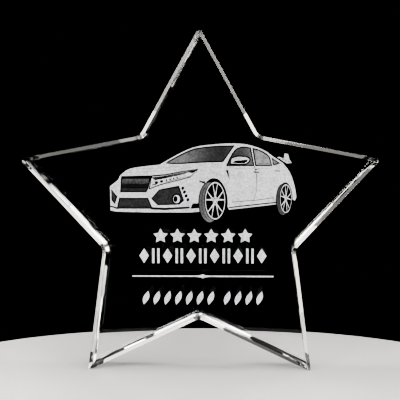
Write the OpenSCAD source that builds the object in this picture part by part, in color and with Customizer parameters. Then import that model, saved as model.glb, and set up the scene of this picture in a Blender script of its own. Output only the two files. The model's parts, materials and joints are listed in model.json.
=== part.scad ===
// Star trophy: a five-pointed block of clear crystal that stands on its two lower points, with
// bevelled edges and an etched picture on its front face. Millimetres, +Z up. The origin is on
// the floor, midway between the two feet and halfway through the block. The front faces -Y.
//
// The star and its etching are drawn lying down, with the front face up, and stood up at the end.

/* [Star] */
// From the centre to each point, before the point is blunted
tip_radius = 100; // [80:1:125]
// From the centre to each inner corner, before the corner is rounded
notch_radius = 53.2; // [44:0.1:64]
// From the front face to the back face
thickness = 25.4; // [12:0.1:40]
// Width of the bevel along every edge
bevel = 2; // [0.5:0.1:3]
// Radius of each inner corner
corner_radius = 6; // [3:0.5:9]
// Length ground off each of the three upper points
point_grind = 2; // [0.5:0.1:4]
// Height ground off each of the two lower points, which leaves a flat to stand on
foot_grind = 1; // [0.6:0.1:2.5]

/* [Etching] */
// Depth of the etched layer
etch_depth = 0.4; // [0.2:0.05:1]
// Gap between an etched field and the wall of the pocket that it lies in
etch_clearance = 0.02; // [0.01:0.01:0.05]
// Clear crystal left between two neighbouring fields of the car
line_width = 0.4; // [0.25:0.05:0.6]
// Sideways place of the picture's centre line
artwork_x = 2; // [-5:0.5:5]

/* [Car] */
// Length of the car, from nose to tail
car_length = 98; // [70:1:105]
// Height of its lowest panel above the star's centre
car_height = 2.8; // [-2:0.1:8]

/* [Rows under the car] */
// Height of the row of stars
stars_height = 7.3; // [4:0.1:9]
// Length of the row of stars
stars_length = 52; // [40:1:60]
// Middle of the row of stars, below the star's centre
stars_drop = 9.2; // [8:0.1:12]
// Height of the frieze
frieze_height = 7.8; // [4:0.1:9]
// Length of the frieze
frieze_length = 66.6; // [50:0.1:74]
// Middle of the frieze, below the star's centre
frieze_drop = 19.9; // [18:0.1:22]
// Thickness of the dividing rule
rule_thickness = 0.7; // [0.4:0.1:1.2]
// Length of the dividing rule
rule_length = 74; // [50:1:80]
// The dividing rule, below the star's centre
rule_drop = 30.6; // [28:0.1:33]
// Height of the row of leaves
leaves_height = 7.3; // [4:0.1:9]
// Length of the row of leaves
leaves_length = 63.6; // [50:0.1:72]
// Middle of the row of leaves, below the star's centre
leaves_drop = 42; // [39:0.1:45]

/* [Hidden] */
$fn = 64;

POINTS = 5;
half_step = 180 / POINTS;                  // between a point and the inner corner beside it
// Angle between a point's own centre line and each of its two walls
tip_angle = atan2(notch_radius * sin(half_step), tip_radius - notch_radius * cos(half_step));
wall_distance = tip_radius * sin(tip_angle);                     // from the centre to every wall
corner_angle = half_step + tip_angle;      // between an inner corner's centre line and its walls
centre_height = tip_radius * cos(half_step) - foot_grind;
upper_points = [18, 90, 162];
all_points = [for (i = [0 : POINTS - 1]) 90 + i * 2 * half_step];
all_corners = [for (i = [0 : POINTS - 1]) 90 + (2 * i + 1) * half_step];
over = 5;                                  // how far a cutting shape runs past what it cuts

CLEAR = [0.80, 0.88, 0.92, 0.35];
BRIGHT = [0.93, 0.93, 0.94];
SHADED = [0.42, 0.43, 0.47];

// ---- Outlines ------------------------------------------------------------------------------

function on_circle(radius, angle) = radius * [cos(angle), sin(angle)];

// Points along an ellipse's arc, from one angle to another
function arc(centre, radii, from, to, count) = [
    for (i = [0 : count])
        let (angle = from + (to - from) * i / count)
        centre + [radii.x * cos(angle), radii.y * sin(angle)]
];

function ellipse(centre, radii, count = 36) = [
    for (i = [0 : count - 1])
        let (angle = 360 * i / count)
        centre + [radii.x * cos(angle), radii.y * sin(angle)]
];

// A smooth run through the points of p, without its last point, so that runs join end to end
function bend(p, i, t) =
    let (a = p[max(i - 1, 0)], b = p[i], c = p[i + 1], d = p[min(i + 2, len(p) - 1)])
    0.5 * (2 * b + (c - a) * t + (2 * a - 5 * b + 4 * c - d) * t * t
        + (3 * b - a - 3 * c + d) * t * t * t);
function run(p, steps = 3) = [
    for (i = [0 : len(p) - 2], k = [0 : steps - 1]) bend(p, i, k / steps)
];

function cross_area(p) = [
    for (i = [0 : len(p) - 1])
        let (a = p[i], b = p[(i + 1) % len(p)])
        a.x * b.y - a.y * b.x
];
function total(v, i = 0) = i == len(v) ? 0 : v[i] + total(v, i + 1);

// The closed outline p with every side moved out by the distance d. A sharp corner is held back,
// so that it doesn't grow into a spike.
function grown(p, d) =
    let (
        turn = sign(total(cross_area(p))),
        n = len(p),
        normals = [
            for (i = [0 : n - 1])
                let (side = p[(i + 1) % n] - p[i])
                turn * [side.y, -side.x] / norm(side)
        ]
    ) [
        for (i = [0 : n - 1])
            let (a = normals[(i + n - 1) % n], b = normals[i])
            p[i] + d * (a + b) / max(1 + a * b, 0.35)
    ];

// A five-pointed star outline
function star_outline(centre, radius) = [
    for (i = [0 : 2 * POINTS - 1])
        let (share = i % 2 == 0 ? 1 : notch_radius / tip_radius)
        centre + on_circle(radius * share, 90 + i * half_step)
];

// ---- The crystal ---------------------------------------------------------------------------

// The middle of the round of an inner corner, and how far the round reaches along each wall
corner_axis = notch_radius + corner_radius / sin(corner_angle);
bevel_end = corner_axis * cos(corner_angle);
wheel_bite = 0.03;                         // how much deeper the corner is ground than its walls

function corner_side(angle, side) =
    on_circle(corner_axis, angle) - on_circle(corner_radius, angle + side * (90 - corner_angle));

// The star before any grinding. At each inner corner it is full out to the middle of the round.
block_outline = [
    for (angle = all_points)
        let (corner = angle + half_step)
        each [
            on_circle(tip_radius, angle),
            corner_side(corner, 1),
            on_circle(corner_axis, corner),
            corner_side(corner, -1),
        ]
];

// What the bevel takes off the front edge of a wall that faces +X, from the inner corner outwards
module bevel_cut() {
    translate([0, -bevel_end, 0])
        rotate([90, 0, 0])
            linear_extrude(2 * tip_radius)
                polygon([
                    [wall_distance - bevel - over, thickness / 2 + over],
                    [wall_distance + over, thickness / 2 - bevel - over],
                    [wall_distance + over, thickness / 2 + over],
                ]);
}

// The four bevels of the point that lies along +X: two walls, front and back
module point_bevels() {
    for (side = [0, 1], face = [0, 1])
        mirror([0, side, 0])
            mirror([0, 0, face])
                rotate(90 - tip_angle) bevel_cut();
}

// What a grinding wheel takes off the inner corner on +X: the round, and its bevel on both faces
module corner_wheel() {
    radius = corner_radius + wheel_bite;
    flat = thickness / 2 - bevel - wheel_bite;         // half the height of the round's straight part
    rim = thickness / 2 + over;
    translate([corner_axis, 0, 0])
        rotate_extrude()
            polygon([
                [0, -rim], [radius + rim - flat, -rim], [radius, -flat],
                [radius, flat], [radius + rim - flat, rim], [0, rim],
            ]);
}

// Everything beyond a distance along +X
module beyond(distance) {
    translate([distance, -tip_radius, -thickness])
        cube([tip_radius, 2 * tip_radius, 2 * thickness]);
}

module star_block() {
    difference() {
        linear_extrude(thickness, center = true) polygon(block_outline);
        for (angle = all_points) rotate(angle) point_bevels();
        for (angle = all_corners) rotate(angle) corner_wheel();
        for (angle = upper_points) rotate(angle) beyond(tip_radius - point_grind);
        rotate(-90) beyond(centre_height);
    }
}

// ---- The etched fields, as flat shapes -----------------------------------------------------
// Each takes a growth: nothing for the etched field itself, or the clearance for its pocket.

// The car is drawn on a grid of 100 units to its length, from its nose at 0
car_scale = car_length / 100;
function on_car(p) = [for (q = p) [(q.x - 50) * car_scale, car_height + q.y * car_scale]];

front_arch = [[55.9, 5], [7.4, 13.4]];
rear_arch = [[93.9, 7], [3.9, 9.2]];
body_outline = on_car(concat(
    [[0.6, 1]],
    run([[0.3, 14], [4.8, 17.6], [6, 20], [11, 23.4], [20, 24.8], [27, 25.6]]),
    run([[27, 25.6], [35, 30.2], [45, 34.8], [56, 36.4], [66, 36.9], [74, 36.2], [82, 33.6],
        [88, 29.6], [92.5, 26.6]]),
    run([[92.5, 26.6], [96.4, 21.4], [98.8, 14.4], [99.8, 8.2]]),
    [[99.8, 8.2], [99, 6.4]],
    arc(rear_arch[0], rear_arch[1], 0, 182, 14),
    [[89.4, 4.5], [64, 1.5]],
    arc(front_arch[0], front_arch[1], -8, 184, 20),
    [[48.1, 0.4], [42, 0], [23, 0], [3.8, 0.4]]
));

windscreen = on_car(concat(
    run([[30.6, 26.4], [35, 28.9], [40, 31.5], [46, 33.8], [56, 35.1], [66.2, 35.4]]),
    [[66.2, 35.4]],
    run([[60.6, 27.3], [50, 27], [38, 26.3], [30.6, 26.4]])
));
front_door_glass = on_car(concat(
    run([[63, 25.2], [65, 29.6], [67.6, 33.4], [71.3, 34.8], [75.2, 34.3]]),
    [[75.2, 34.3], [77, 25.2]]
));
rear_door_glass = on_car(concat(
    run([[76.8, 34], [80, 33.1], [83, 31.5], [85.2, 29.5], [86.4, 25.3]]),
    [[86.4, 25.3], [78.2, 25.2]]
));
quarter_glass = on_car([[86.9, 28.8], [90.4, 26.4], [87.8, 25.6]]);

headlamp = on_car(concat(
    [[21.6, 12.8]],
    run([[22.6, 18.4], [28, 18.9], [36, 20.4], [46.8, 22.4]]),
    [[46.8, 22.4]],
    run([[43, 19], [36, 17.2], [28, 15.2], [21.6, 12.8]])
));
upper_grille = on_car([[6.6, 18.2], [21.8, 18.4], [20.7, 13.4], [19.6, 11.2], [6.2, 11.2]]);
lower_intake = on_car([[5.6, 7.4], [20.5, 7.4], [22.6, 2.4], [4.4, 2.4]]);
side_recess = on_car([[22.9, 7.4], [26.8, 11.9], [37, 13.9], [39.5, 6.6], [37.4, 4.6], [26, 4.3]]);
corner_intake = on_car([[1.2, 12], [3.8, 8.4], [2.8, 5.2], [1.5, 6.8]]);
fog_lamp = on_car(ellipse([36, 7.2], [2, 2.3], 24));

mirror_outline = on_car(run([[65, 26.2], [65.4, 28.6], [69, 29.8], [74, 29.2], [74.6, 27.6],
    [72, 26], [65, 26.2]]));
spoiler_outline = on_car([[89.4, 29.5], [90.8, 29.8], [93, 28.8], [93.4, 31.6], [95.4, 31.3],
    [96, 28.6], [97.3, 26.4], [94.6, 26.2]]);

front_wheel_at = [56.6, 6.3];
front_wheel_size = [5.4, 10.1];
front_tread = [-2.9, -0.8];                // from the rim to the tyre's far side, which shows beside it
rear_wheel_at = [94.2, 7.5];
rear_wheel_size = [3.1, 7.7];
rear_tread = [-1.6, -0.6];
sidewall = 1.06;                           // a tyre's size over its rim's
SPOKES = 5;
spoke_splay = 13;                          // half the angle between the two bars of a spoke
bar_half = 3.4;                            // half the angle that a bar covers at its outer end
rim_inner = 0.84;
hub_share = 0.2;

module field(outline, growth) {
    polygon(grown(outline, growth));
}

// The part of the bodywork that another field takes up, with a clear line around it
module aperture(outline, growth) {
    polygon(grown(outline, line_width - growth));
}

module bodywork_shape(growth = 0) {
    difference() {
        field(body_outline, growth);
        for (outline = [windscreen, front_door_glass, rear_door_glass, quarter_glass, headlamp,
                upper_grille, lower_intake, side_recess, corner_intake, mirror_outline,
                spoiler_outline])
            aperture(outline, growth);
        aperture(on_car(ellipse(front_wheel_at + front_tread, front_wheel_size * sidewall)), growth);
        aperture(on_car(ellipse(rear_wheel_at + rear_tread, rear_wheel_size * sidewall)), growth);
    }
}

module windows_shape(growth = 0) {
    field(windscreen, growth);
    difference() {
        field(front_door_glass, growth);
        aperture(mirror_outline, growth);
    }
    field(rear_door_glass, growth);
    field(quarter_glass, growth);
}

module lamps_shape(growth = 0) {
    field(headlamp, growth);
    field(fog_lamp, growth);
}

module grilles_shape(growth = 0) {
    field(upper_grille, growth);
    field(lower_intake, growth);
    field(corner_intake, growth);
    difference() {
        field(side_recess, growth);
        aperture(fog_lamp, growth);
    }
}

// A wheel seen at an angle: everything round is an ellipse
module rim_shape(at, size, growth = 0) {
    function on_rim(share, angle) =
        on_car([at + [size.x * share * cos(angle), size.y * share * sin(angle)]])[0];
    difference() {
        field(on_car(ellipse(at, size)), growth);
        field(on_car(ellipse(at, size * rim_inner)), -growth);
    }
    field(on_car(ellipse(at, size * hub_share, 16)), growth);
    for (i = [0 : SPOKES - 1], side = [-1, 1])
        let (angle = 90 + i * 360 / SPOKES + side * spoke_splay, root = angle - side * spoke_splay / 2)
        field([
            on_rim(hub_share / 2, root + 60),
            on_rim(hub_share / 2, root - 60),
            on_rim(rim_inner + 0.05, angle - bar_half),
            on_rim(rim_inner + 0.05, angle + bar_half),
        ], growth);
}

// The tread is what shows of the tyre beside the rim: a crescent
module tyre_shape(at, size, tread, growth = 0) {
    difference() {
        field(on_car(ellipse(at + tread, size * sidewall)), growth);
        aperture(on_car(ellipse(at, size)), growth);
    }
}

stars_count = 6;
module star_row_shape(growth = 0) {
    radius = stars_height / (1 + cos(half_step));
    pitch = (stars_length - 2 * radius * cos(18)) / (stars_count - 1);
    for (i = [0 : stars_count - 1])
        field(star_outline([
            (i - (stars_count - 1) / 2) * pitch,
            -stars_drop - radius + stars_height / 2,
        ], radius), growth);
}

// Lozenges with a pair of upright bars between each two
lozenges = 6;
lozenge_width = 5;
bar_width = 1.3;
bar_gap = 1.4;
module frieze_shape(growth = 0) {
    pitch = (frieze_length - lozenge_width) / (lozenges - 1);
    for (i = [0 : lozenges - 1])
        let (x = (i - (lozenges - 1) / 2) * pitch)
        field([
            [x - lozenge_width / 2, -frieze_drop],
            [x, frieze_height / 2 - frieze_drop],
            [x + lozenge_width / 2, -frieze_drop],
            [x, -frieze_height / 2 - frieze_drop],
        ], growth);
    for (i = [0 : lozenges - 2], side = [-1, 1])
        let (x = (i + 1 - lozenges / 2) * pitch + side * (bar_gap + bar_width) / 2)
        field([
            [x - bar_width / 2, -frieze_height / 2 - frieze_drop],
            [x + bar_width / 2, -frieze_height / 2 - frieze_drop],
            [x + bar_width / 2, frieze_height / 2 - frieze_drop],
            [x - bar_width / 2, frieze_height / 2 - frieze_drop],
        ], growth);
}

// A thin line that swells into a small lozenge at its middle
rule_swell = 3.5;                          // half the length that the swelling covers
rule_lozenge = 1.2;                        // half the lozenge's height
module rule_shape(growth = 0) {
    half = rule_thickness / 2;
    top = [
        [-rule_length / 2, half], [-rule_swell, half], [-rule_swell / 3, half * 1.8],
        [0, rule_lozenge], [rule_swell / 3, half * 1.8], [rule_swell, half], [rule_length / 2, half],
    ];
    bottom = [for (i = [len(top) - 1 : -1 : 0]) [top[i].x, -top[i].y]];
    field([for (p = concat(top, bottom)) p - [0, rule_drop]], growth);
}

// Two sprigs of leaning leaves: each leaf is a pair of arcs that meet in two points
leaf_groups = [7, 4];
leaf_lean = 18;
leaf_width = 3.2;
leaf_gap = 1.5;                            // the space between the sprigs, in leaf pitches
function leaf_outline(foot, length) =
    let (steps = 6, swell = leaf_width / 2)
    [
        for (side = [1, -1], i = [0 : steps - 1])
            let (t = side > 0 ? i / steps : 1 - i / steps)
            foot + [
                t * length * tan(leaf_lean) + side * swell * sin(180 * t),
                t * length,
            ]
    ];
module leaf_row_shape(growth = 0) {
    count = leaf_groups[0] + leaf_groups[1];
    lean = leaves_height * tan(leaf_lean);
    pitch = (leaves_length - lean - leaf_width / 2) / (count - 1 + leaf_gap - 1);
    for (i = [0 : count - 1])
        let (place = i + (i < leaf_groups[0] ? 0 : leaf_gap - 1))
        field(leaf_outline([
            place * pitch - leaves_length / 2 + leaf_width / 4,
            -leaves_drop - leaves_height / 2,
        ], leaves_height), growth);
}

// ---- From flat shapes to solids ------------------------------------------------------------

// An etched layer: a flat shape as deep as the etching, flush with the front face
module etched() {
    translate([artwork_x, 0, thickness / 2 - etch_depth])
        linear_extrude(etch_depth) children();
}

// The pocket for it: as deep, and open at the front
module pocket() {
    translate([artwork_x, 0, thickness / 2 - etch_depth])
        linear_extrude(etch_depth + over) children();
}

// Stands the star up on its feet, with its front towards -Y
module stand() {
    translate([0, 0, centre_height]) rotate([90, 0, 0]) children();
}

module star_crystal() {
    color(CLEAR) stand() difference() {
        star_block();
        pocket() bodywork_shape(etch_clearance);
        pocket() windows_shape(etch_clearance);
        pocket() lamps_shape(etch_clearance);
        pocket() grilles_shape(etch_clearance);
        pocket() field(mirror_outline, etch_clearance);
        pocket() field(spoiler_outline, etch_clearance);
        pocket() tyre_shape(front_wheel_at, front_wheel_size, front_tread, etch_clearance);
        pocket() rim_shape(front_wheel_at, front_wheel_size, etch_clearance);
        pocket() tyre_shape(rear_wheel_at, rear_wheel_size, rear_tread, etch_clearance);
        pocket() rim_shape(rear_wheel_at, rear_wheel_size, etch_clearance);
        pocket() star_row_shape(etch_clearance);
        pocket() frieze_shape(etch_clearance);
        pocket() rule_shape(etch_clearance);
        pocket() leaf_row_shape(etch_clearance);
    }
}

module car_bodywork() { color(BRIGHT) stand() etched() bodywork_shape(); }
module car_windows() { color(SHADED) stand() etched() windows_shape(); }
module car_lamps() { color(BRIGHT) stand() etched() lamps_shape(); }
module car_grilles() { color(SHADED) stand() etched() grilles_shape(); }
module door_mirror() { color(BRIGHT) stand() etched() field(mirror_outline, 0); }
module rear_spoiler() { color(BRIGHT) stand() etched() field(spoiler_outline, 0); }
module front_tyre() {
    color(SHADED) stand() etched() tyre_shape(front_wheel_at, front_wheel_size, front_tread);
}
module front_rim() { color(BRIGHT) stand() etched() rim_shape(front_wheel_at, front_wheel_size); }
module rear_tyre() {
    color(SHADED) stand() etched() tyre_shape(rear_wheel_at, rear_wheel_size, rear_tread);
}
module rear_rim() { color(BRIGHT) stand() etched() rim_shape(rear_wheel_at, rear_wheel_size); }
module star_row() { color(BRIGHT) stand() etched() star_row_shape(); }
module frieze_row() { color(BRIGHT) stand() etched() frieze_shape(); }
module divider_rule() { color(BRIGHT) stand() etched() rule_shape(); }
module leaf_row() { color(BRIGHT) stand() etched() leaf_row_shape(); }

star_crystal();
car_bodywork();
car_windows();
car_lamps();
car_grilles();
door_mirror();
rear_spoiler();
front_tyre();
front_rim();
rear_tyre();
rear_rim();
star_row();
frieze_row();
divider_rule();
leaf_row();
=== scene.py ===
# %% [markdown]
# # A crystal star trophy
#
# The object is one block of optical crystal, cut as a five-pointed star, with a picture etched in
# its front face. Two things make it look real: light that bends and bounces inside a clear block,
# and etching that stays flat white because it scatters light. This lesson builds both around the
# design model, which is loaded first and gives the block's thickness and height and the etched
# fields' outlines.

import json
import math

import bmesh
import bpy
from mathutils import Matrix, Vector


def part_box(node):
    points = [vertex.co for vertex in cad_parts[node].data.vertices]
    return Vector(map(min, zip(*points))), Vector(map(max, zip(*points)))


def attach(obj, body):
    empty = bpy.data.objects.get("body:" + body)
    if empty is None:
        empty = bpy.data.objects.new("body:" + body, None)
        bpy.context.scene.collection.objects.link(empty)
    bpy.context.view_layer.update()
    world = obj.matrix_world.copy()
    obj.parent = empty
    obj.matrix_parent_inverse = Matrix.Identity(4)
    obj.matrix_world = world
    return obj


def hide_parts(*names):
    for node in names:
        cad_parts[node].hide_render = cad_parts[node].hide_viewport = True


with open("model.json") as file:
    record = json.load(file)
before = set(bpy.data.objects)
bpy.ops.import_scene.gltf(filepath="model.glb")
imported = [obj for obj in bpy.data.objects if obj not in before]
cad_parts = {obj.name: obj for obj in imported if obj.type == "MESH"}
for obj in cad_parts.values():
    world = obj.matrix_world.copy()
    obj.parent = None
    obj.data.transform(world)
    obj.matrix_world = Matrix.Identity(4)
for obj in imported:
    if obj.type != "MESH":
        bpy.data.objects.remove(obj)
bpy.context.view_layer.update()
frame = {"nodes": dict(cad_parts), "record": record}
low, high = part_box("star_crystal")
print("star from", [round(v, 4) for v in low], "to", [round(v, 4) for v in high])

# %% [markdown]
# ## Helpers for node materials
#
# Every finish here is a small tree of nodes around one Principled shader. These helpers keep each
# tree short enough to read: one makes the material, one adds a node, one sets a node's numbers,
# one puts a material on a piece. The last one puts a new object in the scene.

# %% Material helpers
def new_material(name):
    material = bpy.data.materials.new(name)
    material.use_nodes = True
    shader = material.node_tree.nodes["Principled BSDF"]
    return material, material.node_tree, shader


def add_node(tree, kind, **settings):
    node = tree.nodes.new(kind)
    for key, value in settings.items():
        setattr(node, key, value)
    return node


def set_inputs(node, **values):
    for key, value in values.items():
        node.inputs[key.replace("_", " ")].default_value = value


def dress(piece, material):
    piece.data.materials.clear()
    piece.data.materials.append(material)


def add_object(name, data):
    thing = bpy.data.objects.new(name, data)
    bpy.context.scene.collection.objects.link(thing)
    return thing


# %% [markdown]
# ## The crystal
#
# Optical crystal is clear right through and polished on every face, so its look is all shape and
# lighting. It could be faked with a mirror and some transparency, but only a shader that bends
# light shows the back bevels through the front face, which is what draws the bright double line
# along every edge.

# %% Crystal finish
CRYSTAL_IOR = 1.52


def crystal_material():
    material, _, shader = new_material("polished_crystal")
    shader.inputs["Base Color"].default_value = (0.985, 0.995, 1.0, 1.0)
    shader.inputs["Roughness"].default_value = 0.0
    shader.inputs["IOR"].default_value = CRYSTAL_IOR
    shader.inputs["Transmission Weight"].default_value = 1.0
    return material


# %% [markdown]
# ## The hand-polished bevels
#
# A machine polishes the flat faces and the walls, but the slanted bevels are held to the wheel by
# hand, so they keep faint streaks that run along the edge. A smooth bevel would show one even
# tone. A noise stretched along the edge, used as a bump, breaks the reflection into the fine
# light and dark lines that cut glass has.

# %% Bevel finish
STREAK_HEIGHT = 0.0003
STREAK_STRETCH = (12.0, 420.0, 12.0)


def edge_material():
    material, tree, shader = new_material("hand_polished_edge")
    shader.inputs["Base Color"].default_value = (0.98, 0.99, 1.0, 1.0)
    shader.inputs["Roughness"].default_value = 0.02
    shader.inputs["IOR"].default_value = CRYSTAL_IOR
    shader.inputs["Transmission Weight"].default_value = 1.0
    place = add_node(tree, "ShaderNodeTexCoord")
    stretch = add_node(tree, "ShaderNodeMapping")
    set_inputs(stretch, Scale=STREAK_STRETCH)
    streak = add_node(tree, "ShaderNodeTexNoise")
    set_inputs(streak, Scale=1.0, Detail=1.0)
    relief = add_node(tree, "ShaderNodeBump")
    set_inputs(relief, Strength=1.0, Distance=STREAK_HEIGHT)
    link = tree.links.new
    link(place.outputs["Object"], stretch.inputs["Vector"])
    link(stretch.outputs["Vector"], streak.inputs["Vector"])
    link(streak.outputs["Fac"], relief.inputs["Height"])
    link(relief.outputs["Normal"], shader.inputs["Normal"])
    return material


# %% [markdown]
# ## The shape of the block
#
# The real block is sawn, ground and polished: five points, a slanted bevel along every edge,
# rounded inner corners, and points with their tips ground off, the lower two of them level, as
# feet. It could be a cylinder with a bevel modifier, but that leaves no say in how two bevels meet
# at a point. So the rings of corners are worked out here, front and back alike, and joined one by
# one into flat faces.

# %% Outline of the star
THICKNESS = high[1] - low[1]
TIP_RADIUS = 0.100
NOTCH_RADIUS = 0.0532
BEVEL = 0.002
CORNER_RADIUS = 0.006
POINT_GRIND = 0.002
CENTRE_HEIGHT = high[2] - (TIP_RADIUS - POINT_GRIND)
CORNER_STEPS = 14
POINTS = 5
POINT_STEP = 72
HALF_STEP = 36
TOP = 90
FOOT_NUMBERS = (2, 3)


def on_circle(radius, angle):
    angle = math.radians(angle)
    return Vector((radius * math.cos(angle), radius * math.sin(angle)))


def cut_by_line(start, end, normal, limit):
    share = (start.dot(normal) - limit) / (start.dot(normal) - end.dot(normal))
    return start.lerp(end, share), share


notch = on_circle(NOTCH_RADIUS, HALF_STEP)
half_point = math.atan2(notch.y, TIP_RADIUS - notch.x)
half_corner = math.radians(HALF_STEP) + half_point
corner_axis = NOTCH_RADIUS + CORNER_RADIUS / math.sin(half_corner)
corner_swing = 90 - math.degrees(half_corner)
print("points are", round(2 * math.degrees(half_point), 1), "degrees sharp")


# %% [markdown]
# ## One point at a time
#
# The star is five equal points, so one function makes a point's corners and is called ten times,
# five for the front and five for the back. The front face is set back by a fiftieth of a
# millimetre, so that it doesn't lie in the same plane as the etching and flicker.

# %% One point of the star, front or back
FACE_INSET = 0.00002


def star_point(bm, number, side):
    def corner(place, y):
        return bm.verts.new((place.x, y, place.y + CENTRE_HEIGHT))

    angle = TOP + POINT_STEP * number
    along = on_circle(1, angle)
    tip = along * TIP_RADIUS
    inner_tip = along * (TIP_RADIUS - BEVEL / math.sin(half_point))
    normal, limit = along, TIP_RADIUS - POINT_GRIND
    if number in FOOT_NUMBERS:
        normal, limit = Vector((0, -1)), CENTRE_HEIGHT
    wall_y = side * (THICKNESS / 2 - BEVEL)
    face_y = side * THICKNESS / 2 + (FACE_INSET if side < 0 else 0)
    before, _ = cut_by_line(tip, on_circle(NOTCH_RADIUS, angle - HALF_STEP), normal, limit)
    after, _ = cut_by_line(tip, on_circle(NOTCH_RADIUS, angle + HALF_STEP), normal, limit)
    ridge, share = cut_by_line(tip, inner_tip, normal, limit)
    point = {
        "before": corner(before, wall_y),
        "after": corner(after, wall_y),
        "ridge": corner(ridge, wall_y + side * share * BEVEL),
        "inner": corner(inner_tip, face_y),
        "outer_round": [],
        "inner_round": [],
    }
    axis = on_circle(corner_axis, angle + HALF_STEP)
    for step in range(CORNER_STEPS + 1):
        turn = angle + 180 + HALF_STEP + corner_swing * (1 - 2 * step / CORNER_STEPS)
        point["outer_round"].append(corner(axis + on_circle(CORNER_RADIUS, turn), wall_y))
        point["inner_round"].append(corner(axis + on_circle(CORNER_RADIUS + BEVEL, turn), face_y))
    return point


# %% The faces of the block
def close_side(bm, points):
    flat = []
    for number, point in enumerate(points):
        coming = points[(number + 1) % POINTS]
        outer, inner = point["outer_round"], point["inner_round"]
        flat += [point["inner"], *inner]
        bm.faces.new([point["after"], outer[0], inner[0], point["inner"], point["ridge"]])
        bm.faces.new([outer[-1], coming["before"], coming["ridge"], coming["inner"], inner[-1]])
        for step in range(CORNER_STEPS):
            bm.faces.new([outer[step], outer[step + 1], inner[step + 1], inner[step]])
    bm.faces.new(flat)


def join_sides(bm, front, back):
    for number in range(POINTS):
        f, b = front[number], back[number]
        next_f, next_b = front[(number + 1) % POINTS], back[(number + 1) % POINTS]
        outer_f, outer_b = f["outer_round"], b["outer_round"]
        bm.faces.new([f["ridge"], f["after"], b["after"], b["ridge"], b["before"], f["before"]])
        bm.faces.new([f["after"], outer_f[0], outer_b[0], b["after"]])
        bm.faces.new([outer_f[-1], next_f["before"], next_b["before"], outer_b[-1]])
        for step in range(CORNER_STEPS):
            bm.faces.new([outer_f[step], outer_f[step + 1], outer_b[step + 1], outer_b[step]])


# %% [markdown]
# ## Edges that catch the light
#
# No ground edge is perfectly sharp. A bevel of a seventh of a millimetre on every sharp edge gives
# each one a hair-thin highlight. A wider one would look like moulded plastic. The flat faces and
# the walls then get the clear finish, and the slanted bevels the streaked one.

# %% The block, with its edges taken off
ARRIS = 0.00015
SHARP_EDGE = math.radians(15)
ROUND_EDGE = math.radians(12)
ACROSS_WALL, ACROSS_FACE = 0.3, 0.95

bm = bmesh.new()
front = [star_point(bm, number, -1) for number in range(POINTS)]
back = [star_point(bm, number, 1) for number in range(POINTS)]
close_side(bm, front)
close_side(bm, back)
join_sides(bm, front, back)
bmesh.ops.recalc_face_normals(bm, faces=bm.faces)
sharp = [edge for edge in bm.edges if edge.calc_face_angle(0) > SHARP_EDGE]
bmesh.ops.bevel(
    bm, geom=sharp, offset=ARRIS, segments=2, profile=0.5, affect="EDGES", clamp_overlap=True
)
for face in bm.faces:
    face.smooth = True
open_edges = [edge for edge in bm.edges if len(edge.link_faces) != 2]
mesh = bpy.data.meshes.new("crystal_block")
bm.to_mesh(mesh)
bm.free()
mesh.set_sharp_from_angle(angle=ROUND_EDGE)
block = add_object("crystal_block", mesh)
dress(block, crystal_material())
block.data.materials.append(edge_material())
for polygon in mesh.polygons:
    is_bevel = ACROSS_WALL < abs(polygon.normal.y) < ACROSS_FACE
    polygon.material_index = 1 if is_bevel else 0
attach(block, "root")
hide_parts("star_crystal")
print("crystal block:", len(mesh.polygons), "faces,", len(open_edges), "open edges")


# %% [markdown]
# ## The etching
#
# The picture is carved by fine sand blown through a mask. Where the sand hits, the polished face
# turns into a rough white skin that scatters light, and where it hits less, the skin is thin and
# looks grey. White paint would do from far away, but a frosted skin has a grain. So each finish
# here takes its tone from a run of tones across the picture, makes it lighter and darker by a
# fine noise, and raises a little bump from the same noise.

# %% Frosted finishes
GRAIN_PER_METRE = 1000.0
CLOUDS_PER_METRE = 170.0
NOISE_LOW, NOISE_HIGH = 0.38, 0.62
GRAIN_HEIGHT = 0.00005
COOL = 1.03


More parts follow.
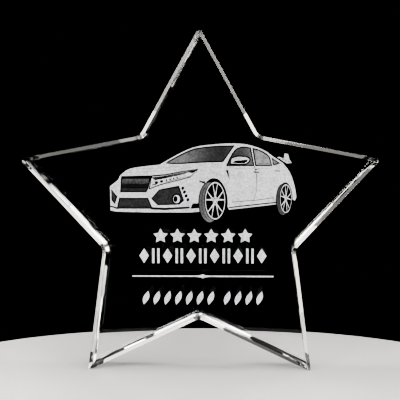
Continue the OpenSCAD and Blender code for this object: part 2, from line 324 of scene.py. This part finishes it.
def frosted_material(name, tones, across="X", coarse=0.25, swing=0.35, bump=0.3):
    material, tree, shader = new_material(name)
    link = tree.links.new
    place = add_node(tree, "ShaderNodeTexCoord")
    grain = add_node(tree, "ShaderNodeTexNoise")
    set_inputs(grain, Scale=GRAIN_PER_METRE, Detail=3.0, Roughness=0.7)
    cloud = add_node(tree, "ShaderNodeTexNoise")
    set_inputs(cloud, Scale=CLOUDS_PER_METRE, Detail=2.0)
    both = add_node(tree, "ShaderNodeMix", data_type="FLOAT")
    both.inputs[0].default_value = coarse
    spread = add_node(tree, "ShaderNodeMapRange")
    set_inputs(spread, From_Min=NOISE_LOW, From_Max=NOISE_HIGH)
    set_inputs(spread, To_Min=1 - swing, To_Max=1 + swing)
    split = add_node(tree, "ShaderNodeSeparateXYZ")
    along = add_node(tree, "ShaderNodeMapRange")
    first, last = tones[0][0], tones[-1][0]
    set_inputs(along, From_Min=first, From_Max=last)
    ramp = add_node(tree, "ShaderNodeValToRGB")
    stops = ramp.color_ramp.elements
    while len(stops) < len(tones):
        stops.new(0.5)
    for stop, (at, tone) in zip(stops, tones):
        stop.position = (at - first) / (last - first)
        stop.color = (tone, tone, min(1.0, tone * COOL), 1.0)
    shade = add_node(tree, "ShaderNodeVectorMath", operation="SCALE")
    relief = add_node(tree, "ShaderNodeBump")
    set_inputs(relief, Strength=bump, Distance=GRAIN_HEIGHT)
    link(place.outputs["Object"], grain.inputs["Vector"])
    link(place.outputs["Object"], cloud.inputs["Vector"])
    link(grain.outputs["Fac"], both.inputs[2])
    link(cloud.outputs["Fac"], both.inputs[3])
    link(both.outputs[0], spread.inputs["Value"])
    link(place.outputs["Object"], split.inputs[0])
    link(split.outputs[across], along.inputs["Value"])
    link(along.outputs[0], ramp.inputs["Fac"])
    link(ramp.outputs["Color"], shade.inputs[0])
    link(spread.outputs[0], shade.inputs["Scale"])
    link(shade.outputs["Vector"], shader.inputs["Base Color"])
    link(grain.outputs["Fac"], relief.inputs["Height"])
    link(relief.outputs["Normal"], shader.inputs["Normal"])
    shader.inputs["Roughness"].default_value = 0.75
    shader.inputs["Specular IOR Level"].default_value = 0.3
    return material


print("frosting helper ready, grain", round(1000 / GRAIN_PER_METRE, 2), "mm across")

# %% [markdown]
# ## A grid for the drawing
#
# The etched car is drawn in its own units: a hundred across its length, counted up from its
# lowest line. Working in metres would do too, but whole units are easier to read and to correct.
# The next cell turns a place on that grid into a place on the crystal.

# %% The car's own drawing grid
ART_X = 0.002
CAR_UNIT = 0.00098
CAR_BASE = CENTRE_HEIGHT + 0.0028


def on_car(u, v):
    return Vector(((u - 50) * CAR_UNIT + ART_X, CAR_BASE + v * CAR_UNIT))


def tones_across(*pairs):
    return [(on_car(u, 0).x, tone) for u, tone in pairs]


def tones_up(*pairs):
    return [(on_car(0, v).y, tone) for v, tone in pairs]


print("the car is", round(100 * CAR_UNIT * 1000), "mm long")

# %% [markdown]
# ## Four strengths of frosting
#
# The bodywork is carved hard and comes out nearly white. Glass, mesh and rubber are carved
# lightly, and more lightly on one side than on the other, which suggests a reflection or a
# shadow. Each finish could be one tone, but a short run of tones across the picture tells the eye
# that the window is curved and the grille is deep.

# %% The four frosted finishes
bright = frosted_material(
    "dense_frosting", tones_across((0, 0.72), (50, 0.66), (100, 0.7)), swing=0.26
)
window_skin = frosted_material("window_frosting", tones_across(
    (30, 0.2), (40, 0.17), (54, 0.05), (61, 0.035), (67, 0.06), (72, 0.08), (76, 0.16), (79, 0.34),
    (86, 0.3), (91, 0.15),
))
shaded = frosted_material("sparse_frosting", tones_up(
    (2, 0.035), (12.9, 0.035), (13.2, 0.004), (14.7, 0.006), (15.3, 0.05), (18.4, 0.12)
), "Z", swing=0.6)
tyre_skin = frosted_material("tyre_frosting", tones_across(
    (46, 0.05), (50, 0.12), (54, 0.2), (90, 0.08), (94, 0.18)
), swing=0.4)
FINISHES = {"etch_bright": bright, "etch_shaded": shaded}
SLOTS = {entry["node"]: entry["material_slot"] for entry in frame["record"]["subparts"]}
for name, slot in SLOTS.items():
    if slot in FINISHES:
        dress(frame["nodes"][name], FINISHES[slot])
print("frosted:", sum(slot in FINISHES for slot in SLOTS.values()), "fields")

# %% [markdown]
# ## Outlines taken from the design model
#
# The etched fields are flat, so all their shape is in their outline. Rather than draw them twice,
# the next cell reads the outlines back from the design model's own meshes: the edges between a
# front face and a side wall, chained end to end into loops.

# %% Read outlines back
FRONT = low[1]
ETCH_DEPTH = 0.0004
SNAP = 0.0000005


def outlines(name):
    bm = bmesh.new()
    bm.from_mesh(frame["nodes"][name].data)
    bmesh.ops.remove_doubles(bm, verts=bm.verts, dist=SNAP)
    bm.normal_update()
    after = {}
    for face in bm.faces:
        if face.normal.y > -0.9:
            continue
        for loop in face.loops:
            other = [f for f in loop.edge.link_faces if f is not face]
            if other and abs(other[0].normal.y) < 0.5:
                after[loop.vert] = loop.link_loop_next.vert
    loops = []
    while after:
        start = vert = next(iter(after))
        loop = []
        while vert in after:
            loop.append(Vector((vert.co.x, vert.co.z)))
            vert = after.pop(vert)
        loops.append(loop)
    bm.free()
    return loops


print("outlines of the windows:", len(outlines("car_windows")))

# %% [markdown]
# ## Finer etched pieces
#
# A sand-carved picture is cut through a mask, so it has two kinds of dark: thin lines where the
# mask was left on and the crystal stays clear, and grey fields where the sand was held back. The
# design model gives the fields. Here each one is copied, drawn in a little from its outline so
# that clear crystal shows as a dark border, and cut through along the mask's lines. Painted lines
# would lie flat in a close view, while cut ones catch light on their sides.

# %% Draw a field in from its outline
MITRE_LIMIT = 1.2
KEY_DIGITS = 6


def inward(before, here, after):
    first, second = (here - before).normalized(), (after - here).normalized()
    mitre = Vector((-first.y, first.x)) + Vector((-second.y, second.x))
    return mitre * (2 / max(mitre.length_squared, MITRE_LIMIT))


def field_copy(name, draw_in):
    shifts = {}
    for loop in outlines(name):
        for index, here in enumerate(loop):
            shift = inward(loop[index - 1], here, loop[(index + 1) % len(loop)]) * draw_in
            shifts[round(here.x, KEY_DIGITS), round(here.y, KEY_DIGITS)] = shift
    mesh = frame["nodes"][name].data.copy()
    for vert in mesh.vertices:
        shift = shifts.get((round(vert.co.x, KEY_DIGITS), round(vert.co.z, KEY_DIGITS)))
        if shift:
            vert.co += Vector((shift.x, 0, shift.y))
    bm = bmesh.new()
    bm.from_mesh(mesh)
    bmesh.ops.remove_doubles(bm, verts=bm.verts, dist=SNAP)
    bm.to_mesh(mesh)
    bm.free()
    return add_object("fine_" + name, mesh)


# %% [markdown]
# ## Knives for the mask lines
#
# A line is cut by a knife, a thin upright prism that is pushed through the field and taken away
# again. There are three outlines for one: a groove along a path, which may taper, a patch with
# straight sides, and a round patch. All are given on the drawing grid.

# %% Outlines of the knives


def groove(points, start_width, end_width=None):
    end_width = start_width if end_width is None else end_width
    path = [on_car(*point) for point in points]
    left, right = [], []
    for index, here in enumerate(path):
        before = path[max(index - 1, 0)]
        after = path[min(index + 1, len(path) - 1)]
        along = (after - before).normalized()
        share = index / (len(path) - 1)
        half = (start_width + (end_width - start_width) * share) * CAR_UNIT / 2
        side = Vector((-along.y, along.x)) * half
        left.append(here + side)
        right.append(here - side)
    return left + right[::-1]


def patch(points):
    return [on_car(*point) for point in points]


def round_patch(u, v, wide, high, tilt=0, steps=20):
    turn = math.radians(tilt)
    points = []
    for step in range(steps):
        angle = 2 * math.pi * step / steps
        x, y = wide * math.cos(angle), high * math.sin(angle)
        points.append((
            u + x * math.cos(turn) - y * math.sin(turn),
            v + x * math.sin(turn) + y * math.cos(turn),
        ))
    return patch(points)


# %% Prisms, and cutting with them
CUT_OUT, CUT_IN = 0.0004, 0.0009


def prism(name, outline, front, back):
    bm = bmesh.new()
    near = [bm.verts.new((p.x, front, p.y)) for p in outline]
    far = [bm.verts.new((p.x, back, p.y)) for p in outline]
    bm.faces.new(near)
    bm.faces.new(far[::-1])
    for index in range(len(outline)):
        after = (index + 1) % len(outline)
        bm.faces.new([near[index], far[index], far[after], near[after]])
    bmesh.ops.recalc_face_normals(bm, faces=bm.faces)
    mesh = bpy.data.meshes.new(name)
    bm.to_mesh(mesh)
    bm.free()
    return add_object(name, mesh)


def carve(piece, tools, operation):
    for tool in tools:
        step = piece.modifiers.new("carve", "BOOLEAN")
        step.operation = operation
        step.solver = "EXACT"
        step.object = tool
    graph = bpy.context.evaluated_depsgraph_get()
    mesh = bpy.data.meshes.new_from_object(piece.evaluated_get(graph))
    piece.modifiers.clear()
    piece.data = mesh
    for tool in tools:
        bpy.data.objects.remove(tool)


def cut_lines(piece, outlines_cut):
    knives = [prism("knife", line, FRONT - CUT_OUT, FRONT + CUT_IN) for line in outlines_cut]
    carve(piece, knives, "DIFFERENCE")


# %% Hand a finished field over
def finish_field(piece, name, material):
    bm = bmesh.new()
    bm.from_mesh(piece.data)
    bmesh.ops.dissolve_degenerate(bm, edges=bm.edges, dist=SNAP)
    for face in bm.faces:
        face.smooth = False
    open_edges = sum(len(edge.link_faces) != 2 for edge in bm.edges)
    bm.to_mesh(piece.data)
    bm.free()
    dress(piece, material)
    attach(piece, "root")
    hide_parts(name)
    print(piece.name, len(piece.data.polygons), "faces,", open_edges, "open edges")


# %% [markdown]
# ## The bodywork
#
# The roof, the bonnet, the bumper and the flank are one bright field. What makes it read as sheet
# metal is the set of thin dark lines: door gaps, the sill, the bonnet's creases, the vents in the
# bumper. They could be a dark stripe in the material. They are cut right through the frosting
# instead, so they stay crisp from any side.

# %% Lines on the nose
NOSE_LINES = [
    groove([(6.4, 18.95), (8, 18.9), (17, 19.1), (22.9, 19.3)], 1.0, 1.1),
    groove([
        (22.9, 19.5), (25.4, 19.7), (30, 20.15), (36, 21.3), (41, 22.2), (47.6, 23.1),
    ], 0.8, 0.5),
    patch([(41, 22.5), (47.8, 23.2), (46.9, 22.5)]),
    groove([(48, 16.9), (49.6, 16.3), (51.3, 16)], 0.5, 1.3),
]
print(len(NOSE_LINES), "lines on the nose")

# %% Lines on the doors
DOOR_LINES = [
    patch([(62.3, 22.6), (63.5, 22.7), (64.3, 17.2)]),
    groove([(77.4, 25), (78.6, 20), (78.8, 12), (77, 6.6)], 0.3, 0.16),
    groove([(77, 21.7), (79.8, 21.5)], 0.6),
    groove([(77.7, 23), (79, 22.9)], 0.5),
    groove([(88.4, 22.3), (91.2, 22.2)], 0.45),
    groove([(65.6, 5.6), (70, 6), (78, 6.6), (88, 8)], 0.3),
]
print(len(DOOR_LINES), "lines on the doors")

# %% Creases in the metal
CREASES = [
    groove([(64, 23.8), (75, 23.4), (86, 23.6)], 0.08),
    groove([(53, 20.8), (57, 21.2), (61, 19.8)], 0.1),
    groove([(7, 21.3), (20, 21.7), (33, 22.6), (44, 24)], 0.1),
    groove([(14, 23.3), (28, 23.8), (42, 25)], 0.1),
]
print(len(CREASES), "creases")

# %% Vents and lower edge
VENTS = [round_patch(39.3 + 0.9 * k, 13 - 2.05 * k, 0.75, 0.95, -28) for k in range(4)]
LOWER_EDGE = [
    groove([(22.4, 2.2), (30, 1.9), (43, 2.7)], 1.3, 1.0),
    groove([(0.2, 3.4), (2.2, 2.9), (4.6, 2)], 0.7),
    patch([(43.4, 2), (44.6, 4.8), (47.6, 5), (47.9, 2.4)]),
    groove([(63.8, 2.7), (76, 4.1), (89.4, 5.5)], 0.6),
]
print(len(VENTS), "vents,", len(LOWER_EDGE), "lines on the lower edge")

# %% Bodywork
body = field_copy("car_bodywork", 0.0)
cut_lines(body, [*NOSE_LINES, *DOOR_LINES, *CREASES, *VENTS, *LOWER_EDGE])
finish_field(body, "car_bodywork", bright)

# %% [markdown]
# ## The windows
#
# The windscreen and the side windows are grey, with clear crystal round them for the rubber seal.
# Each is drawn in from its outline by a fifth of a millimetre, about what a mask can hold.

# %% Windows
WINDOW_DRAW_IN = 0.00022
windows = field_copy("car_windows", WINDOW_DRAW_IN)
cut_lines(windows, [groove([(79.2, 26), (85.6, 26.1)], 0.2)])
finish_field(windows, "car_windows", window_skin)

# %% [markdown]
# ## Grilles and intakes
#
# The openings in the bumper are the darkest part of the picture, and hold only a bar or two. A
# fine mesh would be closer to a real car, but sand carving can't hold one this small, so its
# grain stands for it.

# %% Grilles and intakes
GRILLE_DRAW_IN = 0.00028
grilles = field_copy("car_grilles", GRILLE_DRAW_IN)
cut_lines(grilles, [
    groove([(6.4, 15.2), (10, 14.8), (17, 14.8), (21, 15.4)], 0.35),
    groove([(6.2, 13.6), (12, 13.2), (20.4, 13.4)], 0.3),
    groove([(4.6, 3.3), (22.4, 3.3)], 0.16),
])
finish_field(grilles, "car_grilles", shaded)

# %% [markdown]
# ## Lamps
#
# The headlamp is the busiest spot: two reflectors, a row of small lights and a dark brow over
# them. All of that is cut out of one bright field, so the pieces can't drift apart.

# %% Lamps
LAMP_DRAW_IN = 0.00012
lamps = field_copy("car_lamps", LAMP_DRAW_IN)
cut_lines(lamps, [
    patch([
        (23, 18.2), (28, 18.75), (36, 20.2), (41.4, 21.2),
        (40.4, 20.6), (34, 19.2), (28, 17.9), (24.6, 17.3),
    ]),
    patch([(41.8, 21.55), (46.4, 22.3), (44.6, 21)]),
    round_patch(25.2, 15.9, 0.9, 0.8, 20),
    round_patch(28, 16.6, 0.9, 0.65, 20),
    *[round_patch(30.6 + 1.9 * k, 17.3 + 0.42 * k, 0.42, 0.5, 15, 12) for k in range(4)],
    groove([(30, 16.3), (36, 17.8), (43, 19.5)], 0.3, 0.2),
    groove([(22.6, 14.6), (25, 15)], 0.5),
    round_patch(35.4, 7.2, 1.1, 1.6),
])
finish_field(lamps, "car_lamps", bright)

# %% [markdown]
# ## The door mirror and the rear spoiler
#
# Both stand out from the car, so each has its own field with a clear line round it. One cut
# apiece is enough: the dark underside of the mirror, and the gap under the spoiler's blade.

# %% Door mirror and spoiler
SMALL_DRAW_IN = 0.00005
mirror = field_copy("door_mirror", SMALL_DRAW_IN)
cut_lines(mirror, [patch([
    (65.8, 26.7), (67.4, 27.7), (70.4, 27.9), (73.9, 28.2),
    (73.6, 27.2), (72, 26.3), (69, 26.25),
])])
finish_field(mirror, "door_mirror", bright)
spoiler = field_copy("rear_spoiler", SMALL_DRAW_IN)
cut_lines(spoiler, [groove([(89.6, 29.1), (93, 28.2), (96.6, 26.8)], 0.22)])
finish_field(spoiler, "rear_spoiler", bright)

# %% [markdown]
# ## Wheels
#
# The rims are cast with five forked spokes inside a thin lip. One flat outline with ten holes
# would be hard to draw, so the lip, the hub and the forks are separate plates, joined by boolean
# unions into one clean piece. A wheel seen at an angle is an ellipse, so every place on it is
# given as a share of the wheel's size and an angle.

# %% Places on a wheel
def on_wheel(wheel, share, angle):
    (u, v), (wide, high) = wheel
    angle = math.radians(angle)
    return on_car(u + wide * share * math.cos(angle), v + high * share * math.sin(angle))


def disc(wheel, share, steps=48):
    return [on_wheel(wheel, share, 360 * step / steps) for step in range(steps)]


FRONT_WHEEL = ((56.6, 6.3), (5.4, 10.1))
REAR_WHEEL = ((94.2, 7.5), (3.1, 7.7))
for title, wheel in (("front", FRONT_WHEEL), ("rear", REAR_WHEEL)):
    print(title, "wheel", [round(2000 * size * CAR_UNIT, 1) for size in wheel[1]], "mm")

# %% One rim
SPOKES = 5
SPOKE_STEP = 72
FORK_ARM = (
    (0.18, 16), (0.95, 16.6), (0.95, 12.9), (0.36, 0), (0.95, -12.9), (0.95, -16.6), (0.18, -16)
)
LIP_OUTSIDE, LIP_INSIDE, HUB = 0.995, 0.92, 0.24
NUT_CIRCLE, NUT_SIZE = 0.15, 0.045
HUB_STEPS, NUT_STEPS = 24, 10


def nut_holes(wheel, turn):
    (u, v), size = wheel
    holes = []
    for number in range(SPOKES):
        angle = math.radians(turn + SPOKE_STEP / 2 + SPOKE_STEP * number)
        x, y = NUT_CIRCLE * math.cos(angle), NUT_CIRCLE * math.sin(angle)
        holes.append(disc(((u + size[0] * x, v + size[1] * y), size), NUT_SIZE, NUT_STEPS))
    return holes


def fine_rim(name, wheel, turn):
    near, far = FRONT, FRONT + ETCH_DEPTH

    def plate(outline):
        return prism("plate", outline, near, far)

    def hole(outline):
        return prism("hole", outline, near - CUT_OUT, far + CUT_OUT)

    rim = prism("fine_" + name, disc(wheel, LIP_OUTSIDE), near, far)
    carve(rim, [hole(disc(wheel, LIP_INSIDE))], "DIFFERENCE")
    forks = []
    for number in range(SPOKES):
        middle = turn + SPOKE_STEP * number
        fork = [on_wheel(wheel, share, middle + swing) for share, swing in FORK_ARM]
        forks.append(plate(fork[::-1]))
    carve(rim, [*forks, plate(disc(wheel, HUB, HUB_STEPS))], "UNION")
    carve(rim, [hole(outline) for outline in nut_holes(wheel, turn)], "DIFFERENCE")
    finish_field(rim, name, bright)


# %% Both rims
fine_rim("front_rim", FRONT_WHEEL, 90)
fine_rim("rear_rim", REAR_WHEEL, 82)

# %% [markdown]
# ## Tyres
#
# Each tyre shows as a soft grey crescent beside its rim, lighter where it turns to the viewer.
# One groove follows the sidewall. It could be a second ring, but a cut keeps the tyre one piece.

# %% Tyres
SIDEWALL = 1.03
SIDEWALL_DROP = 0.5
TYRE_DRAW_IN = 0.00004
for name, wheel, shift in (("front_tyre", FRONT_WHEEL, -1.6), ("rear_tyre", REAR_WHEEL, -0.9)):
    tyre = field_copy(name, TYRE_DRAW_IN)
    (u, v), (wide, high) = wheel
    walls = []
    for angle in range(100, 261, 8):
        x, y = math.cos(math.radians(angle)), math.sin(math.radians(angle))
        walls.append((u + shift + wide * SIDEWALL * x, v - SIDEWALL_DROP + high * SIDEWALL * y))
    cut_lines(tyre, [groove(walls, 0.16)])
    finish_field(tyre, name, tyre_skin)

# %% [markdown]
# ## The floor
#
# The trophy stands on a plain pale table. A wide floor would fill the clear block with its own
# reflection and wash the etching out, so the table is a small round one, just large enough to
# stand on, in a dark room.

# %% Floor
FLOOR_RADIUS = 0.15
FLOOR_DROP = 0.0002
FLOOR_TONE = 0.8
mesh = bpy.data.meshes.new("floor")
bm = bmesh.new()
bmesh.ops.create_circle(bm, cap_ends=True, segments=128, radius=FLOOR_RADIUS)
bm.to_mesh(mesh)
bm.free()
floor = add_object("floor", mesh)
floor.location = (0, 0, -FLOOR_DROP)
floor_material, _, shader = new_material("floor_white")
shader.inputs["Base Color"].default_value = (FLOOR_TONE, FLOOR_TONE, FLOOR_TONE, 1.0)
shader.inputs["Roughness"].default_value = 0.25
dress(floor, floor_material)
print("floor", 2 * FLOOR_RADIUS, "m across")

# %% [markdown]
# ## The dark room
#
# Clear crystal has no colour of its own: it shows what is around it. White surroundings make it
# vanish, so the room is nearly black, and each bright line on an edge comes from a lamp placed
# for it.

# %% The room
ROOM_TONE = 0.0008
world = bpy.data.worlds.new("dark_room")
world.use_nodes = True
backdrop = world.node_tree.nodes["Background"]
backdrop.inputs["Color"].default_value = (ROOM_TONE, ROOM_TONE, ROOM_TONE * 1.1, 1.0)
backdrop.inputs["Strength"].default_value = 1.0
bpy.context.scene.world = world
print("room tone", ROOM_TONE)

# %% [markdown]
# ## Soft panels
#
# A studio lights glass with large soft boxes. The helper places one by an axis through the star,
# an angle away from that axis and a clock angle round it, which is how light that bends in a
# bevel is best described. Its strength is given as brightness, so that a box can be made smaller
# without changing how bright its reflection looks.

# %% Panel helper
CENTRE = Vector((0, 0, CENTRE_HEIGHT))
PANEL_DISTANCE = 0.75
WARM = (1.0, 0.965, 0.92)
WHITE = (1.0, 1.0, 1.0)


def panel(name, axis, off_axis, clock, size, glow, tint):
    side = axis.cross(Vector((0, 0, 1))).normalized()
    up = side.cross(axis)
    clock = math.radians(clock)
    radial = side * math.cos(clock) + up * math.sin(clock)
    place = CENTRE + PANEL_DISTANCE * (axis + radial * math.tan(math.radians(off_axis)))
    light = bpy.data.lights.new(name, "AREA")
    light.shape = "RECTANGLE"
    light.size, light.size_y = size
    light.energy = glow * math.pi * size[0] * size[1]
    light.color = tint
    facing = (place - CENTRE).normalized()
    across = facing.cross(radial).normalized()
    lamp = add_object(name, light)
    lamp.matrix_world = Matrix((across, facing.cross(across), facing)).transposed().to_4x4()
    lamp.matrix_world.translation = place
    lamp.visible_camera = False
    print(name, "at", [round(value, 2) for value in place])


# %% [markdown]
# ## Lamps behind the star
#
# A bevel of 45 degrees bends the line of sight by about 27 degrees, away from its own edge. So a
# ring of panels stands behind the star, just outside what the flat face shows, one for each of
# the ten edges. Some are strong and some weak, because real edges are not lit evenly.

# %% Ring of panels
VIEW_YAW = 2.4
VIEW_RISE = 2.9


def direction(yaw, rise):
    yaw, rise = math.radians(yaw), math.radians(rise)
    return Vector((
        math.sin(yaw) * math.cos(rise), -math.cos(yaw) * math.cos(rise), math.sin(rise)
    ))


to_viewer = direction(VIEW_YAW, VIEW_RISE)
RING_ANGLE = 22.5
PANEL_WIDTH = 0.15
SHORT_PANEL, LONG_PANEL = 0.15, 0.20
STRONG_GLOW = 1.2
RING_GLOWS = {
    43: 0.1, 65: 1.4, 115: 0.25, 137: 1.4, 187: 0.1,
    209: 1.4, 259: 0.2, 281: 0.25, 331: 0.9, 353: 0.25,
}
for clock, glow in RING_GLOWS.items():
    size = (PANEL_WIDTH, LONG_PANEL if glow > STRONG_GLOW else SHORT_PANEL)
    panel("ring_%d" % clock, -to_viewer, RING_ANGLE, clock, size, glow, WARM)

# %% [markdown]
# ## Key and side lamps
#
# Two soft boxes in front, left and right above the viewer, light the frosting, which is the only
# part that shows light falling on it. Five more stand in the plane of the star: their light runs
# through the block and turns at the back bevel, which gives each edge its second, inner line.

# %% Key lamps
KEY_ANGLE = 40
KEY_SIZE = (0.35, 0.35)
KEY_GLOW = 13
for number, clock in enumerate((50, 130)):
    panel("key_%d" % number, to_viewer, KEY_ANGLE, clock, KEY_SIZE, KEY_GLOW, WHITE)


# %% Side lamps
def in_plane(off_axis, clock):
    off_axis, clock = math.radians(off_axis), math.radians(clock)
    return Vector((
        math.sin(off_axis) * math.cos(clock),
        math.cos(off_axis),
        math.sin(off_axis) * math.sin(clock),
    ))


SIDE_LAMPS = (
    (95, 42, 0.42, 5), (98, 358, 0.30, 3.5), (85, 138, 0.42, 5), (98, 195, 0.42, 2.5),
    (80, 88, 0.42, 5),
)
for number, (off_axis, clock, size, glow) in enumerate(SIDE_LAMPS):
    panel("side_%d" % number, in_plane(off_axis, clock), 0, 0, (size, size), glow, WARM)

# %% [markdown]
# ## The camera
#
# The trophy is seen almost straight on, from a little above and a little to the right. A long
# lens keeps its sides nearly parallel, as in a product picture. A contrast look keeps the room
# black and the etching white.

# %% Camera
CAMERA_DISTANCE = 0.7
AIM_ABOVE_CENTRE = 0.0089
LENS = 118.3
bpy.context.scene.view_settings.look = "AgX - High Contrast"
camera_data = bpy.data.cameras.new("camera")
camera_data.lens = LENS
camera = add_object("camera", camera_data)
camera.location = CENTRE + CAMERA_DISTANCE * to_viewer
aim = CENTRE + Vector((0, 0, AIM_ABOVE_CENTRE))
camera.rotation_euler = (aim - camera.location).to_track_quat("-Z", "Y").to_euler()
bpy.context.scene.camera = camera
print("camera at", [round(value, 3) for value in camera.location])
